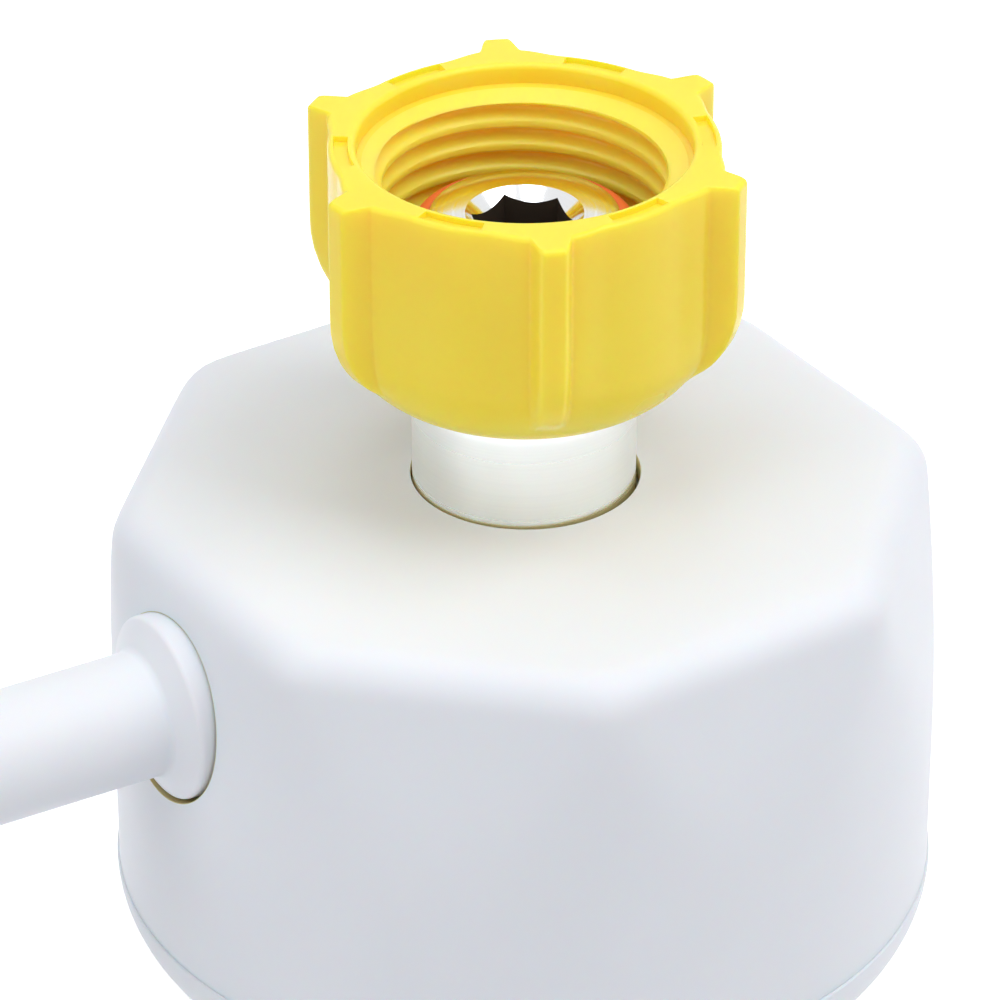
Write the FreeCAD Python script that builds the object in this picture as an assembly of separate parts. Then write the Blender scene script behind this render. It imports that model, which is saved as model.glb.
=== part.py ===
import FreeCAD, Part
import math
import os

# A small suction safety canister that hangs or stands at a wall vacuum outlet.
# The origin is the centre of the flat the canister stands on, +Z is up and the
# hose arm points along -X. All sizes are in millimetres.

# Every cut starts and ends this far beyond the face that it opens
OVER = 1.0
# Edges are picked by their limits to within this
PICK = 0.01

# Levels of the outside, from the flat it stands on to the rim of the hand nut
SEAM_Z = 12.0
TOP_Z = 60.0
SLEEVE_STAND = 11.6
WASHER_T = 0.5
WASHER_GAP = 0.1
NUT_HEIGHT = 28.3
NUT_FLOOR = 3.6
HEAD_RECESS = 8.6
SLEEVE_TOP_Z = TOP_Z + SLEEVE_STAND
NUT_BOTTOM_Z = SLEEVE_TOP_Z + WASHER_T + WASHER_GAP
NUT_FLOOR_TOP_Z = NUT_BOTTOM_Z + NUT_FLOOR
RIM_Z = NUT_BOTTOM_Z + NUT_HEIGHT
HEAD_BOTTOM_Z = NUT_FLOOR_TOP_Z + WASHER_GAP + WASHER_T
HEAD_TOP_Z = RIM_Z - HEAD_RECESS

# Round housing with eight leaning facets under an octagonal top
HOUSING_R = 46.0
HOUSING_WALL = 2.6
HOUSING_BORE_R = HOUSING_R - HOUSING_WALL
FACET_COUNT = 8
FACET_TURN = 3.5
FACET_INSET = 3.8
FACET_RUN = 22.5
FACET_TOP_R = HOUSING_R - FACET_INSET
FACET_SLOPE = FACET_INSET / FACET_RUN
CORNER_ROUND = 4.0
TOP_ROUND = 3.0
SEAM_GAP = 0.05
LIP_DEPTH = 3.8
LIP_GRIP = 0.35
LIP_WALL = 2.3
LIP_R = HOUSING_BORE_R + LIP_GRIP

# Screws that hold the housing down on the manifold
SCREW_COUNT = 3
SCREW_INSET = 6.7
SCREW_RING_R = HOUSING_R - SCREW_INSET
SCREW_SHANK_R = 1.2
SCREW_HOLE_R = 1.6
SCREW_HEAD_R = 2.7
SCREW_HEAD_T = 2.1
SCREW_HEAD_GAP = 0.6
SCREW_LENGTH = 14.0
SCREW_BOSS_R = 3.4

# Cup below the seam, a quarter of a millimetre proud of the housing
SLIDE_GAP = 0.15
CUP_PROUD = 0.25
CUP_R = HOUSING_R + CUP_PROUD
CUP_ROUND = 11.0
CUP_FLOOR = 2.5
BAND_INNER_R = LIP_R + SLIDE_GAP
TROUGH_Z = 4.1
TROUGH_CORNER = 3.0
BORE_WALL = 2.4
BORE_CORNER = 1.8
BORE_R = SCREW_RING_R - SCREW_HEAD_R - SCREW_HEAD_GAP - BORE_WALL

# Metal sleeve round the spigot's stem
SLEEVE_R = 12.3
SLEEVE_WALL = 2.9
SLEEVE_BORE_R = SLEEVE_R - SLEEVE_WALL
SLEEVE_HOLE_GAP = 0.5
SLEEVE_HOLE_R = SLEEVE_R + SLEEVE_HOLE_GAP
SLEEVE_EDGE = 0.3
SLEEVE_CAP = 4.0
SLEEVE_SEAT = 6.5
WASHER_R = SLEEVE_R - SLEEVE_EDGE

# Spigot with a hexagon socket, held down by its own thread in the manifold
STEM_SPACE = 3.4
STEM_R = SLEEVE_BORE_R - STEM_SPACE
STEM_THREAD = 12.0
JOURNAL_STEP = 2.0
JOURNAL_R = STEM_R + JOURNAL_STEP
HEAD_R = 10.3
HEAD_EDGE = 0.4
SOCKET_AF = 10.0
SOCKET_DEPTH = 9.0
SOCKET_TURN = 22.0
CHAMFER_R = 6.4
SPIGOT_BORE_R = 3.0
RING_DROP = 2.1
RING_TUBE = 1.5
RING_PROUD = 1.9
RING_R = HEAD_R + RING_PROUD - RING_TUBE
RING_Z = HEAD_TOP_Z - RING_DROP
GASKET_GAP = 0.4
GASKET_R = SLEEVE_BORE_R - GASKET_GAP
GASKET_T = 1.0

# Manifold that closes the cup and carries every port
FLANGE_T = 3.5
FLANGE_GAP = 0.8
FLANGE_R = HOUSING_BORE_R - FLANGE_GAP
BOSS_GAP = 0.9
BOSS_WALL = 5.2
BOSS_R = SLEEVE_R + BOSS_WALL
BOSS_TOP_Z = TOP_Z - HOUSING_WALL - BOSS_GAP
SLEEVE_FOOT_Z = BOSS_TOP_Z - SLEEVE_SEAT
STEM_END_Z = SLEEVE_FOOT_Z - STEM_THREAD
ROOF_T = 2.0
PLENUM_DEPTH = 3.0
STACK_DEPTH = 9.0
PLUG_DEPTH = 7.0
PLENUM_TOP_Z = STEM_END_Z - ROOF_T
STACK_TOP_Z = PLENUM_TOP_Z - PLENUM_DEPTH
PLUG_BOTTOM_Z = STACK_TOP_Z - STACK_DEPTH
CUP_TOP_Z = PLUG_BOTTOM_Z + PLUG_DEPTH
PLUG_R = BORE_R - SLIDE_GAP
STACK_R = 13.6
FILTER_LEDGE = 2.6
PLENUM_R = STACK_R - FILTER_LEDGE
DUCT_R = 4.4
SEAL_SECTION = 2.6
SEAL_RISE = 2.2
SEAL_GROOVE_DEPTH = 2.05
SEAL_GAP = 0.03
SEAL_Z = PLUG_BOTTOM_Z + SEAL_RISE
SEAL_GROOVE_R = PLUG_R - SEAL_GROOVE_DEPTH

# Side arm: a straight moulded tube with a round collar in a clearance hole
ARM_DROP = 16.5
ARM_Z = TOP_Z - ARM_DROP
ARM_R = 7.0
ARM_TIP_EDGE = 0.6
ARM_LENGTH = 31.0
ARM_COLLAR = 3.3
ARM_COLLAR_GAP = 0.35
ARM_COLLAR_R = ARM_R + ARM_COLLAR
ARM_HOLE_R = ARM_COLLAR_R + ARM_COLLAR_GAP
ARM_RECESS = 0.7
ARM_FACE = HOUSING_R - ARM_RECESS
ARM_SHOULDER = 2.2
ARM_SHOULDER_STEP = 0.4
PORT_INSET = 7.0
PORT_WALL = 3.3
PORT_END = HOUSING_R - PORT_INSET
ARM_PLUG_R = 6.2
ARM_PLUG_LENGTH = 12.5
ARM_PLUG_END = PORT_END - ARM_PLUG_LENGTH
ARM_PLUG_GAP = 0.05
ARM_END_GAP = 0.2
PORT_R = ARM_PLUG_R + PORT_WALL
ARM_SEAL_W = 2.0
ARM_SEAL_DEPTH = 1.0
ARM_SEAL_INSET = 8.5
ARM_SEAL_X = PORT_END - ARM_SEAL_INSET
ARM_GROOVE_R = ARM_PLUG_R - ARM_SEAL_DEPTH
DUCT_SHIFT = 3.5
DUCT_X = DUCT_SHIFT - ARM_PLUG_END

# Fork clip that holds the arm in the manifold
CLIP_T = 1.4
CLIP_GAP = 0.05
CLIP_BITE = 0.9
CLIP_INSET = 4.5
CLIP_MARGIN = 1.9
CLIP_FOOT = 4.0
CLIP_RISE = 0.9
CLIP_X = PORT_END - CLIP_INSET
CLIP_HALF = PORT_R - CLIP_MARGIN
CLIP_INNER = ARM_PLUG_R - CLIP_BITE
CLIP_FOOT_Z = ARM_Z - CLIP_FOOT
CLIP_TOP_Z = ARM_Z + PORT_R + CLIP_RISE

# Yellow hand nut with six wings, bored to the crest of its coarse thread
NUT_R = 21.0
NUT_ROUND = 9.0
NUT_HOLE_GAP = 0.08
NUT_HOLE_R = JOURNAL_R + NUT_HOLE_GAP
WING_COUNT = 6
WING_TURN = 7.0
WING_REACH = 3.9
WING_R = NUT_R + WING_REACH
WING_T = 4.0
WING_ROUND = 12.0
WING_RISE = 2.0
WING_BOTTOM_Z = NUT_BOTTOM_Z + WING_RISE
WING_EDGE = 1.0
COUNTERBORE_WALL = 3.0
COUNTERBORE_R = NUT_R - COUNTERBORE_WALL
COUNTERBORE_DEPTH = 2.2
LEDGE_DEPTH = 1.0
THREAD_WALL = 2.75
CREST_R = COUNTERBORE_R - THREAD_WALL
SLOT_INSET = 1.4
SLOT_R = NUT_R - SLOT_INSET
SLOT_W = 1.5
SLOT_ARC = 20.0
SLOT_DEPTH = 0.6

# Filter and valve seat in the stack under the manifold
FILTER_GAP = 0.2
STACK_GAP = 0.1
FILTER_R = STACK_R - FILTER_GAP
FILTER_T = 2.0
STACK_PART_R = STACK_R - STACK_GAP
RETAINER_T = 2.0
RETAINER_BORE_R = 9.5
RETAINER_RIB = 1.6
SEAT_T = 2.0
SEAT_HOLE_R = 3.4
RETAINER_TOP_Z = STACK_TOP_Z - FILTER_T
SEAT_TOP_Z = RETAINER_TOP_Z - RETAINER_T
SEAT_Z = SEAT_TOP_Z - SEAT_T

# Float and the cage that guides it
CAGE_SCREW_INSET = 2.4
CAGE_SCREW_R = STACK_R + CAGE_SCREW_INSET
CAGE_SCREW_SHANK_R = 1.1
CAGE_SCREW_HEAD_R = 2.0
CAGE_SCREW_HEAD_T = 1.4
CAGE_SCREW_LENGTH = 8.0
CAGE_FLANGE_MARGIN = 0.2
CAGE_FLANGE_R = CAGE_SCREW_R + CAGE_SCREW_HEAD_R + CAGE_FLANGE_MARGIN
CAGE_FLANGE_T = 2.5
CAGE_FLANGE_Z = PLUG_BOTTOM_Z - CAGE_FLANGE_T
CAGE_BORE_R = 6.9
CAGE_WALL = 1.7
CAGE_R = CAGE_BORE_R + CAGE_WALL
CAGE_LIFT = 2.0
CAGE_BOTTOM_Z = CUP_FLOOR + CAGE_LIFT
CAGE_WINDOW_W = 5.0
CAGE_WINDOW_RISE = 4.0
CAGE_WINDOW_DROP = 2.0
CAGE_WINDOW_Z = CAGE_BOTTOM_Z + CAGE_WINDOW_RISE
CAGE_WINDOW_TOP_Z = CAGE_FLANGE_Z - CAGE_WINDOW_DROP
CAGE_CAP_T = 2.5
CAGE_CAP_HOLE_R = 4.0
FLOAT_GAP = 0.5
FLOAT_R = CAGE_BORE_R - FLOAT_GAP
FLOAT_HEIGHT = 8.0
NOSE_STEP = 1.0
NOSE_R = FLOAT_R - NOSE_STEP
NOSE_TIP_R = 1.6
NOSE_HEIGHT = 3.0

# Splash baffle under the duct from the arm
BAFFLE_DROP = 8.5
BAFFLE_Z = PLUG_BOTTOM_Z - BAFFLE_DROP
BAFFLE_T = 1.5
BAFFLE_X = 12.0
BAFFLE_Y = 16.6
BAFFLE_LEG_X = 3.0
BAFFLE_LEG_Y = 1.6
BAFFLE_GRIP = 3.0

Z_AXIS = FreeCAD.Vector(0, 0, 1)
OUT_AXIS = FreeCAD.Vector(-1, 0, 0)


def vec(x, y, z):
    return FreeCAD.Vector(x, y, z)


def polar(radius, degrees, z):
    angle = math.radians(degrees)
    return vec(radius * math.cos(angle), radius * math.sin(angle), z)


def cylinder(radius, bottom, top):
    return Part.makeCylinder(radius, top - bottom, vec(0, 0, bottom), Z_AXIS)


def upright(radius, place, height):
    return Part.makeCylinder(radius, height, place, Z_AXIS)


def arm_cylinder(radius, near, far):
    return Part.makeCylinder(radius, far - near, vec(-near, 0, ARM_Z), OUT_AXIS)


def box(x0, x1, y0, y1, z0, z1):
    return Part.makeBox(x1 - x0, y1 - y0, z1 - z0, vec(x0, y0, z0))


def ring(outer, inner, bottom, top):
    return cylinder(outer, bottom, top).cut(cylinder(inner, bottom - OVER, top + OVER))


def arm_ring(outer, inner, near, far):
    return arm_cylinder(outer, near, far).cut(arm_cylinder(inner, near - OVER, far + OVER))


def turned(edges):
    face = Part.Face(Part.Wire(edges))
    return face.revolve(vec(0, 0, 0), Z_AXIS, 360)


def line(start, end):
    return Part.makeLine(vec(start[0], 0, start[1]), vec(end[0], 0, end[1]))


def arc(centre, radius, from_degrees, to_degrees):
    # Three points on a quarter round in the half plane that is turned about Z
    points = []
    for step in (0.0, 0.5, 1.0):
        angle = math.radians(from_degrees + (to_degrees - from_degrees) * step)
        points.append(vec(centre[0] + radius * math.cos(angle), 0, centre[1] + radius * math.sin(angle)))
    return Part.Arc(points[0], points[1], points[2]).toShape()


def top_edges(shape, z):
    return [edge for edge in shape.Edges if edge.BoundBox.ZMin > z - PICK]


def solid_of(shape):
    # A boolean leaves a compound: the node is its one solid
    if len(shape.Solids) != 1:
        raise ValueError("expected one solid, found %d" % len(shape.Solids))
    return shape.Solids[0]


def save(shape, node):
    solid_of(shape.removeSplitter()).exportStep("parts/" + node + ".step")


# Housing: a cylinder cut by eight planes that lean in towards the top
def facet_polygon(inscribed, z):
    corner_r = inscribed / math.cos(math.radians(180.0 / FACET_COUNT))
    points = []
    for side in range(FACET_COUNT + 1):
        points.append(polar(corner_r, FACET_TURN + 360.0 / FACET_COUNT * (side + 0.5), z))
    return Part.makePolygon(points)


def faceted_body(wall, bottom, top, rounded):
    top_r = FACET_TOP_R - wall + (TOP_Z - top) * FACET_SLOPE
    bottom_r = FACET_TOP_R - wall + (TOP_Z - bottom) * FACET_SLOPE
    frustum = Part.makeLoft([facet_polygon(bottom_r, bottom), facet_polygon(top_r, top)], True, True)
    if rounded:
        ridges = [edge for edge in frustum.Edges if abs(edge.BoundBox.ZLength - (top - bottom)) < PICK]
        frustum = frustum.makeFillet(CORNER_ROUND, ridges)
    body = cylinder(HOUSING_R - wall, bottom, top).common(frustum)
    if rounded:
        body = body.makeFillet(TOP_ROUND, top_edges(body, top))
    return body


def upper_housing():
    foot = SEAM_Z + SEAM_GAP
    outer = faceted_body(0.0, foot, TOP_Z, True)
    shell = outer.cut(faceted_body(HOUSING_WALL, foot - OVER, TOP_Z - HOUSING_WALL, False))
    post_z = CUP_TOP_Z + FLANGE_T
    for index in range(SCREW_COUNT):
        post = upright(SCREW_BOSS_R, polar(SCREW_RING_R, index * 360.0 / SCREW_COUNT, post_z), TOP_Z - post_z)
        shell = shell.fuse(post.common(outer))
    for index in range(SCREW_COUNT):
        start = polar(SCREW_RING_R, index * 360.0 / SCREW_COUNT, CUP_TOP_Z)
        shell = shell.cut(upright(SCREW_SHANK_R, start, SCREW_LENGTH + OVER))
    shell = shell.fuse(ring(LIP_R, LIP_R - LIP_WALL, foot - LIP_DEPTH, foot + LIP_DEPTH))
    shell = shell.cut(cylinder(SLEEVE_HOLE_R, BOSS_TOP_Z, TOP_Z + OVER))
    return shell.cut(arm_cylinder(ARM_HOLE_R, PORT_END - OVER, HOUSING_R + OVER))


# Cup: a shallow rounded bowl with an inner wall that holds the fluid
def canister_cup():
    round_r = CUP_R - CUP_ROUND
    wall_r = BORE_R + BORE_WALL
    edges = [
        line((0, 0), (round_r, 0)),
        arc((round_r, CUP_ROUND), CUP_ROUND, -90, 0),
        line((CUP_R, CUP_ROUND), (CUP_R, SEAM_Z)),
        line((CUP_R, SEAM_Z), (BAND_INNER_R, SEAM_Z)),
        line((BAND_INNER_R, SEAM_Z), (BAND_INNER_R, TROUGH_Z + TROUGH_CORNER)),
        line((BAND_INNER_R, TROUGH_Z + TROUGH_CORNER), (BAND_INNER_R - TROUGH_CORNER, TROUGH_Z)),
        line((BAND_INNER_R - TROUGH_CORNER, TROUGH_Z), (wall_r, TROUGH_Z)),
        line((wall_r, TROUGH_Z), (wall_r, CUP_TOP_Z)),
        line((wall_r, CUP_TOP_Z), (BORE_R, CUP_TOP_Z)),
        line((BORE_R, CUP_TOP_Z), (BORE_R, CUP_FLOOR + BORE_CORNER)),
        line((BORE_R, CUP_FLOOR + BORE_CORNER), (BORE_R - BORE_CORNER, CUP_FLOOR)),
        line((BORE_R - BORE_CORNER, CUP_FLOOR), (0, CUP_FLOOR)),
        line((0, CUP_FLOOR), (0, 0)),
    ]
    return turned(edges)


# Manifold: plug, flange, centre boss and side port in one moulding
def manifold():
    flange_top = CUP_TOP_Z + FLANGE_T
    seal_top = SEAL_Z + SEAL_SECTION
    body = cylinder(PLUG_R, PLUG_BOTTOM_Z, CUP_TOP_Z)
    body = body.cut(ring(PLUG_R + OVER, SEAL_GROOVE_R, SEAL_Z, seal_top))
    body = body.fuse(cylinder(FLANGE_R, CUP_TOP_Z, flange_top))
    body = body.fuse(cylinder(BOSS_R, CUP_TOP_Z, BOSS_TOP_Z))
    body = body.fuse(arm_cylinder(PORT_R, 0, PORT_END))
    body = body.cut(cylinder(STACK_R, PLUG_BOTTOM_Z - OVER, STACK_TOP_Z))
    body = body.cut(cylinder(PLENUM_R, STACK_TOP_Z - OVER, PLENUM_TOP_Z))
    body = body.cut(cylinder(SPIGOT_BORE_R, PLENUM_TOP_Z - OVER, STEM_END_Z))
    body = body.cut(cylinder(STEM_R, STEM_END_Z, BOSS_TOP_Z))
    body = body.cut(cylinder(SLEEVE_R, SLEEVE_FOOT_Z, BOSS_TOP_Z + OVER))
    body = body.cut(upright(DUCT_R, vec(DUCT_X, 0, PLUG_BOTTOM_Z - OVER), ARM_Z - PLUG_BOTTOM_Z + OVER))
    body = body.cut(arm_cylinder(DUCT_R, -DUCT_X, ARM_PLUG_END + OVER))
    body = body.cut(arm_cylinder(ARM_PLUG_R + ARM_PLUG_GAP, ARM_PLUG_END, PORT_END + OVER))
    body = body.cut(arm_cylinder(ARM_HOLE_R, PORT_END, FLANGE_R + OVER))
    body = body.cut(clip_plate(CLIP_GAP, PORT_R + OVER))
    body = body.cut(baffle_leg(1)).cut(baffle_leg(-1))
    for index in range(SCREW_COUNT):
        turn = index * 360.0 / SCREW_COUNT
        hole = ring_hole(SCREW_HOLE_R, SCREW_RING_R, turn, CUP_TOP_Z, flange_top)
        pilot = upright(CAGE_SCREW_SHANK_R, polar(CAGE_SCREW_R, turn, PLUG_BOTTOM_Z), CAGE_SCREW_LENGTH)
        body = body.cut(hole).cut(pilot)
    return body


def ring_hole(radius, ring_r, turn, bottom, top):
    return upright(radius, polar(ring_r, turn, bottom - OVER), top - bottom + 2 * OVER)


# Seal between the plug and the bore of the cup, in its squeezed shape
def cup_seal():
    return ring(BORE_R - SEAL_GAP, SEAL_GROOVE_R, SEAL_Z, SEAL_Z + SEAL_SECTION)


# Side arm: shoulder, collar and plug on one straight tube
def side_arm():
    tip_x = ARM_FACE + ARM_LENGTH
    collar_x = PORT_END + ARM_END_GAP
    tube = arm_cylinder(ARM_R, ARM_FACE, tip_x)
    tip = [edge for edge in tube.Edges if edge.BoundBox.XMax < PICK - tip_x]
    body = tube.makeChamfer(ARM_TIP_EDGE, tip)
    body = body.fuse(arm_cylinder(ARM_COLLAR_R, collar_x, ARM_FACE))
    shoulder_r = ARM_COLLAR_R - ARM_SHOULDER_STEP
    body = body.fuse(Part.makeCone(shoulder_r, ARM_R, ARM_SHOULDER, vec(-ARM_FACE, 0, ARM_Z), OUT_AXIS))
    body = body.fuse(arm_cylinder(ARM_PLUG_R, ARM_PLUG_END, collar_x))
    seal_end = ARM_SEAL_X + ARM_SEAL_W
    body = body.cut(arm_ring(ARM_PLUG_R + OVER, ARM_GROOVE_R, ARM_SEAL_X, seal_end))
    half = CLIP_T / 2 + CLIP_GAP
    body = body.cut(arm_ring(ARM_PLUG_R + OVER, CLIP_INNER, CLIP_X - half, CLIP_X + half))
    return body.cut(arm_cylinder(DUCT_R, ARM_PLUG_END - OVER, tip_x + OVER))


def arm_seal():
    return arm_ring(ARM_PLUG_R + ARM_PLUG_GAP, ARM_GROOVE_R, ARM_SEAL_X, ARM_SEAL_X + ARM_SEAL_W)


def clip_plate(gap, rise):
    half = CLIP_T / 2 + gap
    side = CLIP_HALF + gap
    return box(-CLIP_X - half, -CLIP_X + half, -side, side, CLIP_FOOT_Z - gap, ARM_Z + rise)


def arm_clip():
    throat = box(-CLIP_X - OVER, -CLIP_X + OVER, -CLIP_INNER, CLIP_INNER, CLIP_FOOT_Z - OVER, ARM_Z)
    plate = clip_plate(0.0, CLIP_TOP_Z - ARM_Z)
    return plate.cut(throat).cut(arm_cylinder(CLIP_INNER, CLIP_X - OVER, CLIP_X + OVER))


# Sleeve: a bright metal tube closed at the top by a face for the washer
def sleeve():
    body = cylinder(SLEEVE_R, SLEEVE_FOOT_Z, SLEEVE_TOP_Z)
    body = body.makeChamfer(SLEEVE_EDGE, top_edges(body, SLEEVE_TOP_Z))
    body = body.cut(cylinder(SLEEVE_BORE_R, SLEEVE_FOOT_Z - OVER, SLEEVE_TOP_Z - SLEEVE_CAP))
    return body.cut(cylinder(STEM_R, SLEEVE_FOOT_Z, SLEEVE_TOP_Z + OVER))


def hexagon(across_flats, z, turn):
    corner_r = across_flats / 2.0 / math.cos(math.radians(30))
    points = [polar(corner_r, turn + 60 * side, z) for side in range(7)]
    return Part.Face(Part.makePolygon(points))


# Spigot: stem, journal for the nut, head with socket and seal groove
def spigot():
    body = cylinder(HEAD_R, HEAD_BOTTOM_Z, HEAD_TOP_Z)
    body = body.makeChamfer(HEAD_EDGE, top_edges(body, HEAD_TOP_Z))
    body = body.fuse(cylinder(JOURNAL_R, SLEEVE_TOP_Z, HEAD_BOTTOM_Z))
    body = body.fuse(cylinder(STEM_R, STEM_END_Z, SLEEVE_TOP_Z))
    body = body.cut(cylinder(SPIGOT_BORE_R, STEM_END_Z - OVER, HEAD_TOP_Z))
    socket = hexagon(SOCKET_AF, HEAD_TOP_Z - SOCKET_DEPTH, SOCKET_TURN)
    body = body.cut(socket.extrude(vec(0, 0, SOCKET_DEPTH + OVER)))
    slope = CHAMFER_R - SOCKET_AF / 2.0
    body = body.cut(Part.makeCone(SOCKET_AF / 2.0, CHAMFER_R, slope, vec(0, 0, HEAD_TOP_Z - slope), Z_AXIS))
    return body.cut(ring(HEAD_R + OVER, RING_R - RING_TUBE, RING_Z - RING_TUBE, RING_Z + RING_TUBE))


def spigot_seal():
    # An eight-sided section stands for the round one
    corner_r = RING_TUBE / math.cos(math.radians(22.5))
    points = []
    for side in range(9):
        angle = math.radians(22.5 + 45 * side)
        points.append(vec(RING_R + corner_r * math.cos(angle), 0, RING_Z + corner_r * math.sin(angle)))
    return Part.Face(Part.makePolygon(points)).revolve(vec(0, 0, 0), Z_AXIS, 360)


def stem_gasket():
    return ring(GASKET_R, STEM_R, SLEEVE_FOOT_Z, SLEEVE_FOOT_Z + GASKET_T)


def thrust_washer_lower():
    return ring(WASHER_R, JOURNAL_R + WASHER_GAP, SLEEVE_TOP_Z, SLEEVE_TOP_Z + WASHER_T)


def thrust_washer_upper():
    return ring(WASHER_R, JOURNAL_R + WASHER_GAP, HEAD_BOTTOM_Z - WASHER_T, HEAD_BOTTOM_Z)


# Hand nut: rounded cup with wings, rim slots, counterbore and a bore at the crest of its thread
def nut_outline(radius, bottom, corner):
    inner = radius - corner
    edges = [
        line((0, bottom), (inner, bottom)),
        arc((inner, bottom + corner), corner, -90, 0),
        line((radius, bottom + corner), (radius, RIM_Z)),
        line((radius, RIM_Z), (0, RIM_Z)),
        line((0, RIM_Z), (0, bottom)),
    ]
    return turned(edges)


def nut_wing(turn):
    blade = box(0, WING_R + OVER, -WING_T / 2, WING_T / 2, WING_BOTTOM_Z, RIM_Z)
    blade = blade.common(nut_outline(WING_R, WING_BOTTOM_Z, WING_ROUND))
    outer = []
    for edge in blade.Edges:
        limits = edge.BoundBox
        if limits.XMin > NUT_R - NUT_ROUND and limits.YLength < PICK and limits.ZLength > PICK:
            outer.append(edge)
    blade = blade.makeChamfer(WING_EDGE, outer)
    blade = blade.cut(cylinder(COUNTERBORE_R + OVER, WING_BOTTOM_Z - OVER, RIM_Z + OVER))
    blade.rotate(vec(0, 0, 0), Z_AXIS, turn)
    return blade


def rim_slot(turn):
    half = SLOT_ARC / 2
    inner = SLOT_R - SLOT_W / 2
    outer = SLOT_R + SLOT_W / 2
    floor = RIM_Z - SLOT_DEPTH
    low, middle, high = turn - half, turn, turn + half
    near = Part.Arc(polar(inner, low, floor), polar(inner, middle, floor), polar(inner, high, floor))
    far = Part.Arc(polar(outer, high, floor), polar(outer, middle, floor), polar(outer, low, floor))
    first = Part.makeLine(polar(inner, high, floor), polar(outer, high, floor))
    last = Part.makeLine(polar(outer, low, floor), polar(inner, low, floor))
    face = Part.Face(Part.Wire([near.toShape(), first, far.toShape(), last]))
    return face.extrude(vec(0, 0, SLOT_DEPTH + OVER))


def hand_nut():
    body = nut_outline(NUT_R, NUT_BOTTOM_Z, NUT_ROUND)
    for index in range(WING_COUNT):
        body = body.fuse(nut_wing(WING_TURN + index * 360.0 / WING_COUNT))
    ledge_top = RIM_Z - COUNTERBORE_DEPTH
    body = body.cut(cylinder(CREST_R, NUT_FLOOR_TOP_Z, RIM_Z + OVER))
    body = body.cut(cylinder(COUNTERBORE_R, ledge_top, RIM_Z + OVER))
    ledge = Part.makeCone(CREST_R, COUNTERBORE_R, LEDGE_DEPTH, vec(0, 0, ledge_top - LEDGE_DEPTH), Z_AXIS)
    body = body.cut(ledge)
    body = body.cut(cylinder(NUT_HOLE_R, NUT_BOTTOM_Z - OVER, NUT_FLOOR_TOP_Z + OVER))
    for index in range(WING_COUNT):
        body = body.cut(rim_slot(WING_TURN + (index + 0.5) * 360.0 / WING_COUNT))
    return body


# Filter and valve seat, pressed up into the manifold by the cage
def filter_disc():
    return cylinder(FILTER_R, RETAINER_TOP_Z, STACK_TOP_Z)


def filter_retainer():
    body = ring(STACK_PART_R, RETAINER_BORE_R, SEAT_TOP_Z, RETAINER_TOP_Z)
    bar = RETAINER_RIB / 2
    reach = RETAINER_BORE_R + OVER
    body = body.fuse(box(-reach, reach, -bar, bar, SEAT_TOP_Z, RETAINER_TOP_Z))
    return body.fuse(box(-bar, bar, -reach, reach, SEAT_TOP_Z, RETAINER_TOP_Z))


def valve_seat():
    return ring(STACK_PART_R, SEAT_HOLE_R, SEAT_Z, SEAT_TOP_Z)


# Cage: a windowed tube under a flange that three screws hold to the manifold
def float_cage():
    body = cylinder(CAGE_FLANGE_R, CAGE_FLANGE_Z, PLUG_BOTTOM_Z)
    body = body.fuse(cylinder(STACK_PART_R, PLUG_BOTTOM_Z, SEAT_Z))
    body = body.fuse(cylinder(CAGE_R, CAGE_BOTTOM_Z, PLUG_BOTTOM_Z))
    body = body.cut(cylinder(CAGE_BORE_R, CAGE_BOTTOM_Z - OVER, SEAT_Z + OVER))
    half = CAGE_WINDOW_W / 2
    reach = CAGE_R + OVER
    body = body.cut(box(-reach, reach, -half, half, CAGE_WINDOW_Z, CAGE_WINDOW_TOP_Z))
    body = body.cut(box(-half, half, -reach, reach, CAGE_WINDOW_Z, CAGE_WINDOW_TOP_Z))
    for index in range(SCREW_COUNT):
        turn = index * 360.0 / SCREW_COUNT
        body = body.cut(ring_hole(CAGE_SCREW_SHANK_R, CAGE_SCREW_R, turn, CAGE_FLANGE_Z, PLUG_BOTTOM_Z))
    return body


def cage_cap():
    return ring(CAGE_BORE_R, CAGE_CAP_HOLE_R, CAGE_BOTTOM_Z, CAGE_BOTTOM_Z + CAGE_CAP_T)


# Float: a round body that stands on the cap, with a cone that closes the seat
def valve_float():
    foot = CAGE_BOTTOM_Z + CAGE_CAP_T
    shoulder = foot + FLOAT_HEIGHT
    nose = Part.makeCone(NOSE_R, NOSE_TIP_R, NOSE_HEIGHT, vec(0, 0, shoulder), Z_AXIS)
    return cylinder(FLOAT_R, foot, shoulder).fuse(nose)


def cage_screw(index):
    turn = index * 360.0 / SCREW_COUNT
    head_foot = polar(CAGE_SCREW_R, turn, CAGE_FLANGE_Z - CAGE_SCREW_HEAD_T)
    head = upright(CAGE_SCREW_HEAD_R, head_foot, CAGE_SCREW_HEAD_T)
    return head.fuse(upright(CAGE_SCREW_SHANK_R, polar(CAGE_SCREW_R, turn, CAGE_FLANGE_Z), CAGE_SCREW_LENGTH))


# Splash baffle: a plate on two legs that keeps the inflow off the float
def baffle_leg(side):
    middle = side * (BAFFLE_Y - BAFFLE_LEG_Y) / 2
    x0 = DUCT_X - BAFFLE_LEG_X / 2
    return box(
        x0, x0 + BAFFLE_LEG_X,
        middle - BAFFLE_LEG_Y / 2, middle + BAFFLE_LEG_Y / 2,
        BAFFLE_Z + BAFFLE_T, PLUG_BOTTOM_Z + BAFFLE_GRIP,
    )


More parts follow.
